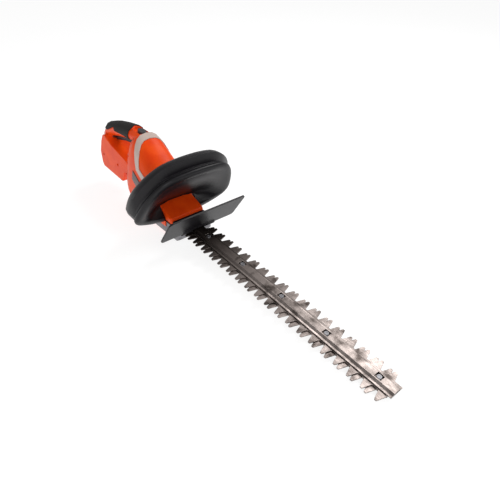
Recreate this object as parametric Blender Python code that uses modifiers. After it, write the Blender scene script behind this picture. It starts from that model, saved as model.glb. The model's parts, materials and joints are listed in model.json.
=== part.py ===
"""Cordless hedge trimmer with a 20 inch dual-action blade, without its battery.

The tool's own frame has +X forward along the blade, +Y to the tool's left and +Z up. The
blades' mid-plane is at z = 0, and x = 0 is at the rearmost tooth of the upper blade's right side.
The whole tool is parented to one empty, which stands it on the floor: on its belly and on the
last blade nut.
"""
import math

import bmesh
import bpy
from mathutils import Matrix, Vector

MM = 0.001

# ---- driving dimensions, in millimetres ----
GAP = 0.3                    # between pieces that touch
REST_ANGLE = 3.4             # the blade points down this much when the tool stands, degrees

TOOTH_PITCH = 27.5
TOOTH_COUNT = 19             # on the upper blade's right side
TOOTH_REACH = 34.0           # tooth tip from the centre line
TOOTH_TIP = 4.6              # width of a tooth at its tip
TOOTH_ROOT = 15.0            # width of a tooth at its root
BLADE_HALF = 16.0            # the blade bar from the centre line to the tooth roots
BLADE_THICK = 2.2
UPPER_LEFT_PHASE = 18.4      # the upper blade's left teeth sit this far ahead of its right ones
LOWER_PHASE = 8.5            # the lower blade's teeth sit this far ahead of the upper right ones
BLADE_END = 503.0
BOLT_FIRST = 35.0
BOLT_SPACING = 4 * TOOTH_PITCH
BOLT_COUNT = 5
SHANK_R = 2.9
STROKE = 16.0                # full travel of each blade

SPINE_HALF = 14.5
SPINE_START = -9.0
SPINE_END = 509.0
SPINE_SHEET = 2.0
RIDGE_HALF = 7.5             # raised middle of the spine, at its top
RIDGE_HEIGHT = 6.2
NUT_HEIGHT = 4.2

GUARD_HALF = 92.0
GUARD_THICK = 3.2
GUARD_FOOT = (-4.0, 7.0)     # x and z of the guard's lower edge
GUARD_TOP = (38.0, 76.0)

GEAR_X = -78.0               # crank axis
GEAR_TEETH = 44
PINION_TEETH = 10
MODULE = 1.4
GEAR_FACE = 6.5
CRANK_R = 5.0
ECCENTRIC_R = 11.0

CASE_FRONT = -12.0
CASE_REAR = -134.0
CASE_HALF = 42.0
CASE_SPLIT = 7.2             # height of the joint between gear case and gear cover
CASE_DEPTH = 30.0
COVER_REAR_Z = 36.5
COVER_FRONT_Z = 22.0
COVER_STEP_X = -92.0         # where the cover comes out of the housing
COVER_FRONT = -40.0

MOTOR_R = 19.0
MOTOR_LENGTH = 50.0

WALL = 2.6                   # moulded shells
BODY_HALF = 45.0             # widest part of the motor housing
BODY_TOP = 140.0
BODY_SIDES = 28              # flats round the motor housing
SQUARENESS = 2.7             # of its section: 2 is an ellipse
GRIP_HALF_WIDTH = 19.0
GRIP_HALF_HEIGHT = 17.0
LOBE_HALF = 26.0
LOBE_TOP = 70.0
LOBE_BOTTOM = -9.0
REAR_X = -390.0
REAR_CORNER = 30.0           # height of the rearmost corner of the battery lobe

HOOP_HALF = 119.0            # half width at the grip's rear edge
HOOP_TOP = 167.0             # top of the grip's rear edge
SEAM_HALF = 115.0            # half width at the seam between grip and shield
SEAM_TOP = 146.0
HOOP_BOTTOM = 1.0
HOOP_LEAN = 0.5              # forward lean of the front handle, metres per metre of height
HOOD_LEAN = 0.45             # and of the hood's front
HOOP_SEAM_X = -82.0          # the seam's place at the blade's height
HOOP_BAND = 22.0             # the grip's outer surface, from its rear edge to the seam
HOOP_BACK = 18.0             # the grip reaches this far behind its rear edge
HOOP_BAR = 22.0              # thickness of the grip
FOOT_TOP = 50.0              # below this height the arch belongs to the shield
SHIELD_DEPTH = 14.0
SHIELD_WALL = 3.0

SIDES = ((-1, "right"), (1, "left"))


# ---- scene ----
for old in list(bpy.data.objects):
    bpy.data.objects.remove(old)

parts = bpy.data.collections.new("hedge_trimmer")
cutters = bpy.data.collections.new("cutters")
for collection in (parts, cutters):
    bpy.context.scene.collection.children.link(collection)


# ---- materials ----
def make_material(name, colour, roughness, metallic=0.0):
    material = bpy.data.materials.new(name)
    material.use_nodes = True
    shader = material.node_tree.nodes["Principled BSDF"]
    shader.inputs["Base Color"].default_value = (*colour, 1.0)
    shader.inputs["Roughness"].default_value = roughness
    shader.inputs["Metallic"].default_value = metallic
    return material


orange = make_material("orange_abs", (0.72, 0.085, 0.018), 0.35)
black = make_material("black_nylon", (0.018, 0.017, 0.02), 0.42)
rubber = make_material("black_elastomer", (0.022, 0.021, 0.02), 0.75)
silver = make_material("silver_trim", (0.52, 0.48, 0.47), 0.3, 0.4)
steel = make_material("blade_steel", (0.36, 0.33, 0.31), 0.38, 1.0)
bright_steel = make_material("turned_steel", (0.55, 0.55, 0.56), 0.28, 1.0)
zinc = make_material("die_cast_zinc", (0.32, 0.32, 0.33), 0.5, 1.0)
grey = make_material("dark_grey_abs", (0.07, 0.07, 0.075), 0.45)
copper_red = make_material("red_wire", (0.5, 0.02, 0.02), 0.5)
wire_black = make_material("black_wire", (0.02, 0.02, 0.02), 0.5)


# ---- helpers ----
def link(name, mesh, collection=parts, material=None):
    obj = bpy.data.objects.new(name, mesh)
    collection.objects.link(obj)
    obj.parent = tool_frame
    if material:
        mesh.materials.append(material)
    if collection is cutters:
        obj.hide_render = True
        obj.display_type = "WIRE"
    return obj


def from_bmesh(name, bm, collection=parts, material=None, matrix=None):
    """Turns a bmesh in millimetres into an object."""
    if matrix:
        bm.transform(matrix)
    bm.transform(Matrix.Scale(MM, 4))
    bmesh.ops.recalc_face_normals(bm, faces=bm.faces)
    mesh = bpy.data.meshes.new(name)
    bm.to_mesh(mesh)
    bm.free()
    return link(name, mesh, collection, material)


def box(name, low, high, collection=parts, material=None):
    bm = bmesh.new()
    size = [b - a for a, b in zip(low, high)]
    middle = [(a + b) / 2 for a, b in zip(low, high)]
    bmesh.ops.create_cube(bm, size=1.0, matrix=Matrix.Translation(middle) @ Matrix.Diagonal((*size, 1)))
    return from_bmesh(name, bm, collection, material)


def rod(name, radius, start, end, collection=parts, material=None, sides=24, far_radius=None):
    """A cylinder or a cone between two points, in millimetres."""
    start = Vector(start)
    end = Vector(end)
    along = end - start
    turn = along.to_track_quat("Z", "Y").to_matrix().to_4x4()
    bm = bmesh.new()
    bmesh.ops.create_cone(
        bm, cap_ends=True, segments=sides, radius1=radius,
        radius2=radius if far_radius is None else far_radius, depth=along.length,
        matrix=Matrix.Translation((start + end) / 2) @ turn,
    )
    return from_bmesh(name, bm, collection, material)


def evaluated_mesh(obj, name):
    """The object's mesh as its modifiers leave it, welded; the object is removed."""
    graph = bpy.context.evaluated_depsgraph_get()
    mesh = bpy.data.meshes.new_from_object(obj.evaluated_get(graph))
    mesh.name = name
    bpy.data.objects.remove(obj)
    bm = bmesh.new()
    bm.from_mesh(mesh)
    bmesh.ops.remove_doubles(bm, verts=bm.verts, dist=1e-6)
    bmesh.ops.recalc_face_normals(bm, faces=bm.faces)
    bm.to_mesh(mesh)
    bm.free()
    return mesh


# Columns are where the outline's own X, Y and its thickness go.
ALONG = {
    "X": Matrix(((0, 0, 1, 0), (1, 0, 0, 0), (0, 1, 0, 0), (0, 0, 0, 1))),
    "Y": Matrix(((1, 0, 0, 0), (0, 0, -1, 0), (0, 1, 0, 0), (0, 0, 0, 1))),
    "Z": Matrix.Identity(4),
}


def prism(name, outlines, axis, low, high, collection=parts, material=None):
    """Flat outlines, the first one outer and the rest holes, extruded along an axis from low to high.

    The outlines' points are (y, z) along X, (x, z) along Y and (x, y) along Z, in millimetres.
    """
    curve = bpy.data.curves.new(name, "CURVE")
    curve.dimensions = "2D"
    curve.fill_mode = "BOTH"
    curve.extrude = (high - low) / 2 * MM
    for outline in outlines:
        spline = curve.splines.new("POLY")
        spline.points.add(len(outline) - 1)
        for point, (u, v) in zip(spline.points, outline):
            point.co = (u * MM, v * MM, 0, 1)
        spline.use_cyclic_u = True
    flat = bpy.data.objects.new(name + "_outline", curve)
    bpy.context.scene.collection.objects.link(flat)
    mesh = evaluated_mesh(flat, name)
    middle = (low + high) / 2 * MM
    mesh.transform(Matrix.Translation([middle if a == axis else 0 for a in "XYZ"]) @ ALONG[axis])
    return link(name, mesh, collection, material)


def arc(cx, cy, radius, start, end, steps):
    """Points on an arc, angles in degrees."""
    angles = [math.radians(start + (end - start) * i / steps) for i in range(steps + 1)]
    return [(cx + radius * math.cos(a), cy + radius * math.sin(a)) for a in angles]


def circle(cx, cy, radius, steps=24):
    return arc(cx, cy, radius, 0, 360, steps)[:-1]


def slot(cx, cy, half_length, radius, steps=6):
    straight = half_length - radius
    return arc(cx + straight, cy, radius, -90, 90, steps) + arc(cx - straight, cy, radius, 90, 270, steps)


def rectangle(low_u, low_v, high_u, high_v, corner=0.0, steps=4):
    if not corner:
        return [(low_u, low_v), (high_u, low_v), (high_u, high_v), (low_u, high_v)]
    return (
        arc(high_u - corner, low_v + corner, corner, -90, 0, steps)
        + arc(high_u - corner, high_v - corner, corner, 0, 90, steps)
        + arc(low_u + corner, high_v - corner, corner, 90, 180, steps)
        + arc(low_u + corner, low_v + corner, corner, 180, 270, steps)
    )


def turned(name, profile, centre, collection=parts, material=None, steps=24):
    """A ring or a spindle about a vertical axis: (radius, z) down its outer side."""
    bm = bmesh.new()
    points = [bm.verts.new((radius, 0, z)) for radius, z in profile]
    for first, second in zip(points, points[1:]):
        bm.edges.new((first, second))
    bm.transform(Matrix.Scale(MM, 4))
    mesh = bpy.data.meshes.new(name)
    bm.to_mesh(mesh)
    bm.free()
    obj = bpy.data.objects.new(name, mesh)
    bpy.context.scene.collection.objects.link(obj)
    screw = obj.modifiers.new("turn", "SCREW")
    screw.steps = steps
    screw.render_steps = steps
    screw.use_merge_vertices = True
    screw.merge_threshold = 0.00001
    mesh = evaluated_mesh(obj, name)
    mesh.transform(Matrix.Translation([c * MM for c in centre]))
    return link(name, mesh, collection, material)


def loft(name, sections, collection=parts, material=None, matrix=None):
    """Skins closed loops of points with equal counts, and caps both ends."""
    bm = bmesh.new()
    rings = [[bm.verts.new(point) for point in section] for section in sections]
    for ring, following in zip(rings, rings[1:]):
        for i in range(len(ring)):
            j = (i + 1) % len(ring)
            bm.faces.new((ring[i], ring[j], following[j], following[i]))
    bm.faces.new(rings[0])
    bm.faces.new(rings[-1])
    return from_bmesh(name, bm, collection, material, matrix)


def boolean(obj, other, operation, solver="EXACT"):
    modifier = obj.modifiers.new(operation.lower(), "BOOLEAN")
    modifier.operation = operation
    modifier.object = other
    modifier.solver = solver
    return obj


def cut(obj, *others):
    for other in others:
        boolean(obj, other, "DIFFERENCE")
    return obj


def round_edges(obj, width, segments=2, angle=40):
    bevel = obj.modifiers.new("round", "BEVEL")
    bevel.width = width * MM
    bevel.segments = segments
    bevel.limit_method = "ANGLE"
    bevel.angle_limit = math.radians(angle)
    return obj


def smooth(obj, angle=35):
    obj.data.shade_smooth()
    obj.data.set_sharp_from_angle(angle=math.radians(angle))
    return obj


def put_origin(obj, x, y, z):
    """Moves the object's origin to a point of the tool frame and leaves its shape where it is."""
    place = Vector((x, y, z)) * MM
    obj.data.transform(Matrix.Translation(-place))
    obj.location = place
    return obj


# ---- resting place ----
blade_face = BLADE_THICK + GAP / 2   # outer face of each blade, from the mid-plane
spine_z = blade_face + GAP
floor_top = spine_z + SPINE_SHEET
ridge_top = spine_z + RIDGE_HEIGHT
nut_top = -spine_z
nut_bottom = nut_top - NUT_HEIGHT
last_bolt_x = BOLT_FIRST + BOLT_SPACING * (BOLT_COUNT - 1)
slope = math.tan(math.radians(REST_ANGLE))


def floor_z(x):
    """Height of the floor in the tool frame."""
    return nut_bottom - (last_bolt_x + 4.0 - x) * slope


tool_frame = bpy.data.objects.new("tool_frame", None)
parts.objects.link(tool_frame)
tool_frame.rotation_euler = (0, math.radians(REST_ANGLE), 0)
to_world = Matrix.Rotation(math.radians(REST_ANGLE), 3, "Y")
rear_in_world = (to_world @ Vector((REAR_X, 0, REAR_CORNER))).x
front_in_world = (to_world @ Vector((SPINE_END, 0, ridge_top))).x
floor_in_world = (to_world @ Vector((0, 0, floor_z(0)))).z
tool_frame.location = Vector((-(rear_in_world + front_in_world) / 2, 0, -floor_in_world)) * MM


def bake(obj, name, collection=parts, material=None):
    """Replaces an object by its evaluated mesh."""
    graph = bpy.context.evaluated_depsgraph_get()
    mesh = bpy.data.meshes.new_from_object(obj.evaluated_get(graph))
    bpy.data.objects.remove(obj)
    mesh.name = name
    mesh.materials.clear()
    return link(name, mesh, collection, material)


# ---- body shape shared by housing, hood and trim ----
GEAR_R = MODULE * GEAR_TEETH / 2
PINION_R = MODULE * PINION_TEETH / 2
MOTOR_X = GEAR_X - GEAR_R - PINION_R
HOOD_FRONT = COVER_STEP_X            # where the hood's leaning front meets the gear cover
BELLY_FRONT = -62.0
BODY_REAR = -258.0
LOOP_FRONT = -224.0                  # front wall of the rear handle's loop


def hood_front_x(z):
    return HOOD_FRONT + HOOD_LEAN * (z - COVER_REAR_Z)


def squared(value):
    """Takes a cosine or a sine from a circle to a circle with squarer corners."""
    return math.copysign(abs(value) ** (2 / SQUARENESS), value)


def body_sections(grow=0.0):
    """Rings round the motor housing, each (x, half width, bottom, top), grown or shrunk all round."""
    foot = 3.0                       # the belly reaches this far into the floor before it is cut flat
    stations = [
        (BODY_REAR, 20.0, -6.0, 42.0),
        (BODY_REAR + 8, 30.0, -22.0, 50.0),
        (BODY_REAR + 20, 36.0, -32.0, 55.0),
        (LOOP_FRONT - 2, 39.0, -37.0, 62.0),
        (LOOP_FRONT + 4, 40.0, -39.0, BODY_TOP - 22),
        (LOOP_FRONT + 12, BODY_HALF - 4, -40.0, BODY_TOP),
        (LOOP_FRONT + 28, BODY_HALF - 3, -41.0, BODY_TOP + 7),
        (LOOP_FRONT + 48, BODY_HALF - 2, -42.0, BODY_TOP),
        (-150.0, BODY_HALF - 0.5, floor_z(-150.0) - foot + 1, BODY_TOP - 16),
        (-125.0, BODY_HALF, floor_z(-125.0) - foot, BODY_TOP - 30),
        (-100.0, BODY_HALF, floor_z(-100.0) - foot, BODY_TOP - 43),
        (-75.0, BODY_HALF, floor_z(-75.0) - foot, BODY_TOP - 53),
        (BELLY_FRONT + 14, BODY_HALF - 1, floor_z(BELLY_FRONT + 14) - foot, BODY_TOP - 64),
    ]
    rings = []
    for x, half, bottom, top in stations:
        half += grow
        middle = (top + bottom) / 2
        height = (top - bottom) / 2 + grow
        x += -grow if x == BODY_REAR else 0
        ring = []
        for i in range(BODY_SIDES):
            angle = 2 * math.pi * i / BODY_SIDES
            across = squared(math.cos(angle))
            up = squared(math.sin(angle))
            ring.append((x, half * across, middle + height * up))
        rings.append(ring)
    return rings


floor_cut = prism(
    "floor_cut",
    [[(-600, floor_z(-600)), (-600, -300), (700, -300), (700, floor_z(700))]],
    "Y", -200, 200, cutters,
)
front_cut = prism(
    "front_cut",
    [[(hood_front_x(CASE_SPLIT), CASE_SPLIT), (100, CASE_SPLIT), (100, 250), (hood_front_x(250), 250)]],
    "Y", -100, 100, cutters,
)
belly_cut = box("belly_cut", (BELLY_FRONT, -100, -100), (100, 100, CASE_SPLIT + 1), cutters)

# rear handle: a loop of grip, rear column and battery lobe
grip_path = [
    (-371, 40), (-370, 60), (-364, 81), (-350, 98), (-319, 110), (-279, 121), (-239, 129.5), (-208, 131),
    (-198, 128),
]


def grip_tube(name, grow, collection=cutters):
    curve = bpy.data.curves.new(name, "CURVE")
    curve.dimensions = "3D"
    curve.bevel_depth = (GRIP_HALF_HEIGHT + grow) * MM
    curve.bevel_resolution = 4
    curve.use_fill_caps = True
    spline = curve.splines.new("POLY")
    spline.points.add(len(grip_path) - 1)
    for point, (x, z) in zip(spline.points, grip_path):
        point.co = (x * MM, 0, z * MM, 1)
    tube = bpy.data.objects.new(name, curve)
    bpy.context.scene.collection.objects.link(tube)
    mesh = evaluated_mesh(tube, name)
    widen = (GRIP_HALF_WIDTH + grow) / (GRIP_HALF_HEIGHT + grow)
    mesh.transform(Matrix.Diagonal((1, widen, 1, 1)))
    return link(name, mesh, collection)


lobe_outline = [
    (REAR_X + 3, 0), (REAR_X + 9, LOBE_BOTTOM), (-285, LOBE_BOTTOM), (-268, 22), (-240, 38), (-215, 45),
    (-215, LOBE_TOP - 20), (-236, LOBE_TOP - 17), (-262, LOBE_TOP - 8), (-320, LOBE_TOP + 2), (-342, 80),
    (-352, 88), (-366, 82), (-377, 64), (REAR_X, REAR_CORNER),
]
lobe = prism("lobe", [lobe_outline], "Y", -LOBE_HALF, LOBE_HALF, cutters)
round_edges(lobe, 11, 3, 50)
outer = loft("outer", body_sections(), cutters)
for piece in (grip_tube("grip_core", 0.0), lobe):
    boolean(outer, piece, "UNION")
cut(outer, front_cut, belly_cut, floor_cut)
outer = bake(outer, "outer_shape", cutters)

# hollow inside
inner = loft("inner", body_sections(-WALL), cutters)
inner_front = prism(
    "inner_front",
    [[
        (hood_front_x(CASE_SPLIT) - WALL, CASE_SPLIT), (100, CASE_SPLIT), (100, 250),
        (hood_front_x(250) - WALL, 250),
    ]],
    "Y", -100, 100, cutters,
)
inner_floor = prism(
    "inner_floor",
    [[(-600, floor_z(-600) + WALL), (-600, -300), (700, -300), (700, floor_z(700) + WALL)]],
    "Y", -200, 200, cutters,
)
cut(inner, inner_front, inner_floor)
lobe_hollow = prism(
    "lobe_hollow",
    [[
        (-381, 8), (-279, 8), (-263, 26), (-236, 38), (-236, 46), (-262, 56), (-325, 66), (-346, 75),
        (-366, 72), (-383, 30),
    ]],
    "Y", -LOBE_HALF + WALL + 3, LOBE_HALF - WALL - 3, cutters,
)
battery_slot = box("battery_slot", (-388, -19, LOBE_BOTTOM - 10), (-296, 19, 5), cutters)
terminal_slot = box("terminal_slot", (-330, -14, 4), (-300, 14, 9), cutters)
case_slot = box(
    "case_slot",
    (CASE_REAR - GAP, -CASE_HALF - GAP, -CASE_DEPTH - GAP),
    (0, CASE_HALF + GAP, COVER_REAR_Z + GAP), cutters,
)
trigger_slot = prism(
    "trigger_slot", [[(-343, 84), (-343, 100), (-283, 118), (-232, 126), (-232, 90), (-300, 80)]],
    "Y", -7.4, 7.4, cutters,
)
switch_slot = box("switch_slot", (-303, -7.4, 105), (-265, 7.4, 130), cutters)
wire_way = prism(
    "wire_way",
    [[
        (-271, 125), (-240, 126), (-232, 115), (-195, 113), (-195, 123.5), (-226, 123.5), (-238, 134),
        (-271, 133),
    ]],
    "Y", -6.2, 6.2, cutters,
)
for piece in (lobe_hollow, battery_slot, terminal_slot, case_slot, trigger_slot, switch_slot, wire_way):
    boolean(inner, piece, "UNION")

# button recess on top, in front of the grip
RECESS_X = -217.0
BUTTON_X = -210.0
recess = prism("recess", [slot(RECESS_X, 0, 24, 11)], "Z", 140, 200, cutters)
button_hole = prism("button_hole", [slot(BUTTON_X, 0, 13.5, 7.5)], "Z", 120, 150, cutters)

# trigger pin and case screws pass through both halves
PIN_X, PIN_Z = -334.0, 86.5
pin_hole = rod("pin_hole", 2.3, (PIN_X, -40, PIN_Z), (PIN_X, 40, PIN_Z), cutters, sides=16)

HANDLE_BOLT_X = -88.0
HANDLE_BOLT_Z = 14.0

# trim band and hood, split by side-view lines
band_rear = [(-198, 200), (-195, 150), (-183, 112), (-173, 80), (-142, 64), (-50, 42)]
band_front = [(-50, 54), (-133, 74), (-161, 87), (-168, 114), (-180, 146), (-183, 200)]
hood_edge = [(x + GAP, z + GAP) for x, z in band_front]
hood_region = prism("hood_region", [hood_edge + [(-50, 200)]], "Y", -80, 80, cutters)
band_region = prism("band_region", [band_rear + band_front], "Y", -80, 80, cutters)
hood_keepout = prism("hood_keepout", [band_front + [(-50, 200)]], "Y", -80, 80, cutters)


def copy_of(obj, name, collection=parts, material=None):
    mesh = obj.data.copy()
    mesh.name = name
    mesh.materials.clear()
    return link(name, mesh, collection, material)


hood = copy_of(outer, "hood_cover", material=orange)
boolean(hood, hood_region, "INTERSECT")
cut(hood, inner, recess)
smooth(hood)

trim = loft("trim_band", body_sections(1.6), material=silver)
boolean(trim, band_region, "INTERSECT")
cut(trim, loft("trim_inside", body_sections(GAP), cutters), front_cut)
smooth(trim)

# (x, z, distance of the outer surface from the mid-plane) of each case screw
case_screws = [(-372, 28, 26.0), (-300, 30, 26.0), (-352, 88, 17.0), (-214, 96, 38.0), (-146, -20, 36.0)]
SCREW_R = 1.5
HEAD_R = 3.0
HEAD_SUNK = 3.0

housing_right = copy_of(outer, "housing_right", material=orange)
left_of_middle = box("left_of_middle", (-700, -GAP / 2, -200), (200, 200, 300), cutters)
cut(housing_right, left_of_middle, inner, hood_keepout, recess, button_hole)
for number, (x, z, surface) in enumerate(case_screws, 1):
    boss = rod(f"boss_{number}", 5.0, (x, -surface + 2, z), (x, -GAP / 2, z), cutters, sides=16)
    boolean(housing_right, boss, "UNION")
    seat = -surface + HEAD_SUNK + 2
    cut(
        housing_right,
        rod(f"screw_bore_{number}", SCREW_R + GAP, (x, -surface, z), (x, 5, z), cutters, sides=12),
        rod(f"screw_sink_{number}", HEAD_R + GAP, (x, -70, z), (x, seat, z), cutters, sides=16),
    )
handle_bolt_hole = rod(
    "handle_bolt_hole", 2.3, (HANDLE_BOLT_X, -60, HANDLE_BOLT_Z), (HANDLE_BOLT_X, -30, HANDLE_BOLT_Z),
    cutters, sides=16,
)
cut(housing_right, pin_hole, handle_bolt_hole)
housing_right = bake(housing_right, "housing_right", material=orange)
smooth(housing_right)
mirrored = housing_right.data.copy()
mirrored.transform(Matrix.Diagonal((1, -1, 1, 1)))
mirrored.flip_normals()
housing_left = link("housing_left", mirrored)
smooth(housing_left)

for number, (x, z, surface) in enumerate(case_screws, 1):
    head = -surface + HEAD_SUNK + 1.7
    ends = (x, head - 2, z), (x, head, z)
    screw = rod(f"case_screw_{number}", HEAD_R, *ends, material=bright_steel, sides=16)
    shank = rod(f"screw_shank_{number}", SCREW_R, (x, head - 1, z), (x, 12, z), cutters, sides=12)
    smooth(boolean(screw, shank, "UNION"))

# rubber over the top of the grip
overmold_region = prism(
    "overmold_region",
    [[
        (-398, 96), (-345, 102), (-314, 120), (-306, 114), (-262, 118), (-244, 116), (-236, 150),
        (-236, 200), (-398, 200),
    ]],
    "Y", -60, 60, cutters,
)
overmold = grip_tube("grip_overmold", 1.8, parts)
overmold.data.materials.append(rubber)
boolean(overmold, overmold_region, "INTERSECT")
cut(overmold, grip_tube("overmold_inside", GAP), recess)
smooth(overmold)


# ---- switch and trigger ----
TRIGGER_HALF = 6.8
trigger_outline = [
    (-340, 80), (-318, 83), (-283, 94.5), (-240, 104), (-236, 108), (-240, 116), (-283, 107), (-322, 95),
    (-340, 92),
]
trigger = prism("trigger", [trigger_outline], "Y", -TRIGGER_HALF, TRIGGER_HALF, material=black)
round_edges(trigger, 2.0, 2, 60)
cut(trigger, rod("trigger_bore", 2.3, (PIN_X, -20, PIN_Z), (PIN_X, 20, PIN_Z), cutters, sides=16))
put_origin(trigger, PIN_X, 0, PIN_Z)
smooth(rod("trigger_pin", 2.0, (PIN_X, -13, PIN_Z), (PIN_X, 13, PIN_Z), material=bright_steel, sides=16))

switch_block = box("switch_block", (-302.5, -7, 119.5), (-270.5, 7, 129.4), material=grey)
round_edges(switch_block, 1.0, 1)

lock_button = prism("lock_button", [slot(BUTTON_X, 0, 12.6, 6.6)], "Z", 128, 147.5, material=grey)
round_edges(lock_button, 1.6, 2)
put_origin(lock_button, BUTTON_X, 0, 140)


# ---- motor and gears, all on vertical axes ----
GEAR_Z = CASE_SPLIT + 1.8


def gear(name, teeth, centre_x, bore, turn_deg, material):
    """Spur gear with straight-sided teeth that leave backlash between them."""
    pitch_r = MODULE * teeth / 2
    root_r = pitch_r - 1.15 * MODULE
    tip_r = pitch_r + 0.85 * MODULE
    step = 360 / teeth
    outline = []
    for i in range(teeth):
        middle = turn_deg + i * step
        for radius, share in ((root_r, -0.33), (tip_r, -0.13), (tip_r, 0.13), (root_r, 0.33)):
            angle = math.radians(middle + share * step)
            outline.append((centre_x + radius * math.cos(angle), radius * math.sin(angle)))
    rings = [outline, circle(centre_x, 0, bore, 20)]
    return prism(name, rings, "Z", GEAR_Z, GEAR_Z + GEAR_FACE, material=material)


drive_gear = gear("drive_gear", GEAR_TEETH, GEAR_X, CRANK_R + GAP, 0.0, bright_steel)
# a gap of the pinion faces the gear's tooth, which lies on the line of centres
pinion = gear("pinion", PINION_TEETH, MOTOR_X, 1.6 + GAP, 180.0 / PINION_TEETH, bright_steel)
put_origin(drive_gear, GEAR_X, 0, GEAR_Z)
put_origin(pinion, MOTOR_X, 0, GEAR_Z)

throw = STROKE / 2
upper_disc = (GAP / 2 + 0.2, BLADE_THICK + GAP / 2 - 0.2)
lower_disc = (-upper_disc[1], -upper_disc[0])
shaft_low, shaft_high = -13.0, COVER_REAR_Z - 13.0
crank = rod("crank", CRANK_R, (GEAR_X, 0, shaft_low), (GEAR_X, 0, shaft_high), material=bright_steel)
for disc_name, shift, (low, high) in (("upper", throw, upper_disc), ("lower", -throw, lower_disc)):
    ends = (GEAR_X, shift, low), (GEAR_X, shift, high)
    boolean(crank, rod("eccentric_" + disc_name, ECCENTRIC_R, *ends, cutters, sides=32), "UNION")
smooth(crank)
put_origin(crank, GEAR_X, 0, 0)

BEARING_R = 9.5
BEARING_HEIGHT = 6.0
upper_bearing_z = shaft_high - BEARING_HEIGHT - 0.5
for name, low in (("crank_bearing_lower", shaft_low + 0.5), ("crank_bearing_upper", upper_bearing_z)):
    ring = [circle(GEAR_X, 0, BEARING_R), circle(GEAR_X, 0, CRANK_R + GAP)]
    smooth(prism(name, ring, "Z", low, low + BEARING_HEIGHT, material=bright_steel))

motor_low = COVER_REAR_Z + GAP
motor_profile = [
    (4.0, motor_low + MOTOR_LENGTH), (MOTOR_R - 1, motor_low + MOTOR_LENGTH),
    (MOTOR_R, motor_low + MOTOR_LENGTH - 1),
    (MOTOR_R, motor_low + 1), (MOTOR_R - 1, motor_low), (4.0, motor_low), (4.0, motor_low + 4),
    (MOTOR_R - 3, motor_low + 4), (MOTOR_R - 3, motor_low + MOTOR_LENGTH - 4),
    (4.0, motor_low + MOTOR_LENGTH - 4), (4.0, motor_low + MOTOR_LENGTH),
]
smooth(turned("motor_can", motor_profile, (MOTOR_X, 0, 0), material=bright_steel, steps=28))
rotor_profile = [
    (0, motor_low + MOTOR_LENGTH + 6.5), (1.6, motor_low + MOTOR_LENGTH + 6.5),
    (1.6, motor_low + MOTOR_LENGTH - 6),
    (MOTOR_R - 6, motor_low + MOTOR_LENGTH - 8), (MOTOR_R - 6, motor_low + 8), (1.6, motor_low + 6),
    (1.6, GEAR_Z), (0, GEAR_Z),
]
rotor = smooth(turned("motor_rotor", rotor_profile, (MOTOR_X, 0, 0), material=bright_steel))
put_origin(rotor, MOTOR_X, 0, motor_low)

# gear case: cover above, case below, split at CASE_SPLIT
cover_outline = [
    (CASE_REAR, CASE_SPLIT + GAP), (COVER_FRONT, CASE_SPLIT + GAP), (COVER_FRONT, COVER_FRONT_Z),
    (COVER_STEP_X + 3, COVER_REAR_Z), (CASE_REAR, COVER_REAR_Z),
]
gear_cover = prism("gear_cover", [cover_outline], "Y", -CASE_HALF, CASE_HALF, material=orange)
round_edges(gear_cover, 5.0, 2, 50)
cut(
    gear_cover,
    rod("gear_pocket", GEAR_R + 3, (GEAR_X, 0, 0), (GEAR_X, 0, GEAR_Z + GEAR_FACE + 1), cutters, sides=40),
    rod("pinion_pocket", PINION_R + 3, (MOTOR_X, 0, 0), (MOTOR_X, 0, GEAR_Z + GEAR_FACE + 1), cutters),
    rod("shaft_way", 3.0, (MOTOR_X, 0, 0), (MOTOR_X, 0, 60), cutters, sides=16),
    rod("bearing_pocket", BEARING_R + GAP, (GEAR_X, 0, 0), (GEAR_X, 0, shaft_high + GAP), cutters),
)
COVER_SCREW = (-80.0, 24.0)          # x and z of the screw in each side of the cover
for side, side_name in SIDES:
    x, z = COVER_SCREW
    cut(
        gear_cover,
        rod("cover_sink_" + side_name, 4.0, (x, side * 38, z), (x, side * 60, z), cutters, sides=16),
        rod("cover_bore_" + side_name, 1.8, (x, side * 22, z), (x, side * 50, z), cutters, sides=12),
    )
    ends = (x, side * 38.3, z), (x, side * 40.5, z)
    screw = rod("cover_screw_" + side_name, 3.2, *ends, material=bright_steel, sides=16)
    shank = rod("cover_shank_" + side_name, 1.5, (x, side * 26, z), (x, side * 39, z), cutters, sides=12)
    smooth(boolean(screw, shank, "UNION"))
smooth(gear_cover)

YOKE_HALF = 29.0
YOKE_LENGTH = 37.0
NECK_TAPER = 12.0            # from the yoke to the blade
case_outline = [
    (CASE_REAR, -CASE_DEPTH + 8), (CASE_REAR + 10, -CASE_DEPTH), (CASE_FRONT - 12, -CASE_DEPTH + 6),
    (CASE_FRONT, -14), (CASE_FRONT, CASE_SPLIT), (CASE_REAR, CASE_SPLIT),
]
room_rear = GEAR_X - YOKE_LENGTH - throw - 3
room_neck = GEAR_X + YOKE_LENGTH + throw + 3     # the room follows the yoke's taper at full stroke
yoke_room = [
    (room_rear, -YOKE_HALF - 3), (room_neck, -YOKE_HALF - 3), (room_neck + NECK_TAPER, -BLADE_HALF - 3),
    (50, -BLADE_HALF - 3), (50, BLADE_HALF + 3), (room_neck + NECK_TAPER, BLADE_HALF + 3),
    (room_neck, YOKE_HALF + 3), (room_rear, YOKE_HALF + 3),
]
gear_case = prism("gear_case", [case_outline], "Y", -CASE_HALF, CASE_HALF, material=zinc)
round_edges(gear_case, 4.0, 2, 50)
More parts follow.
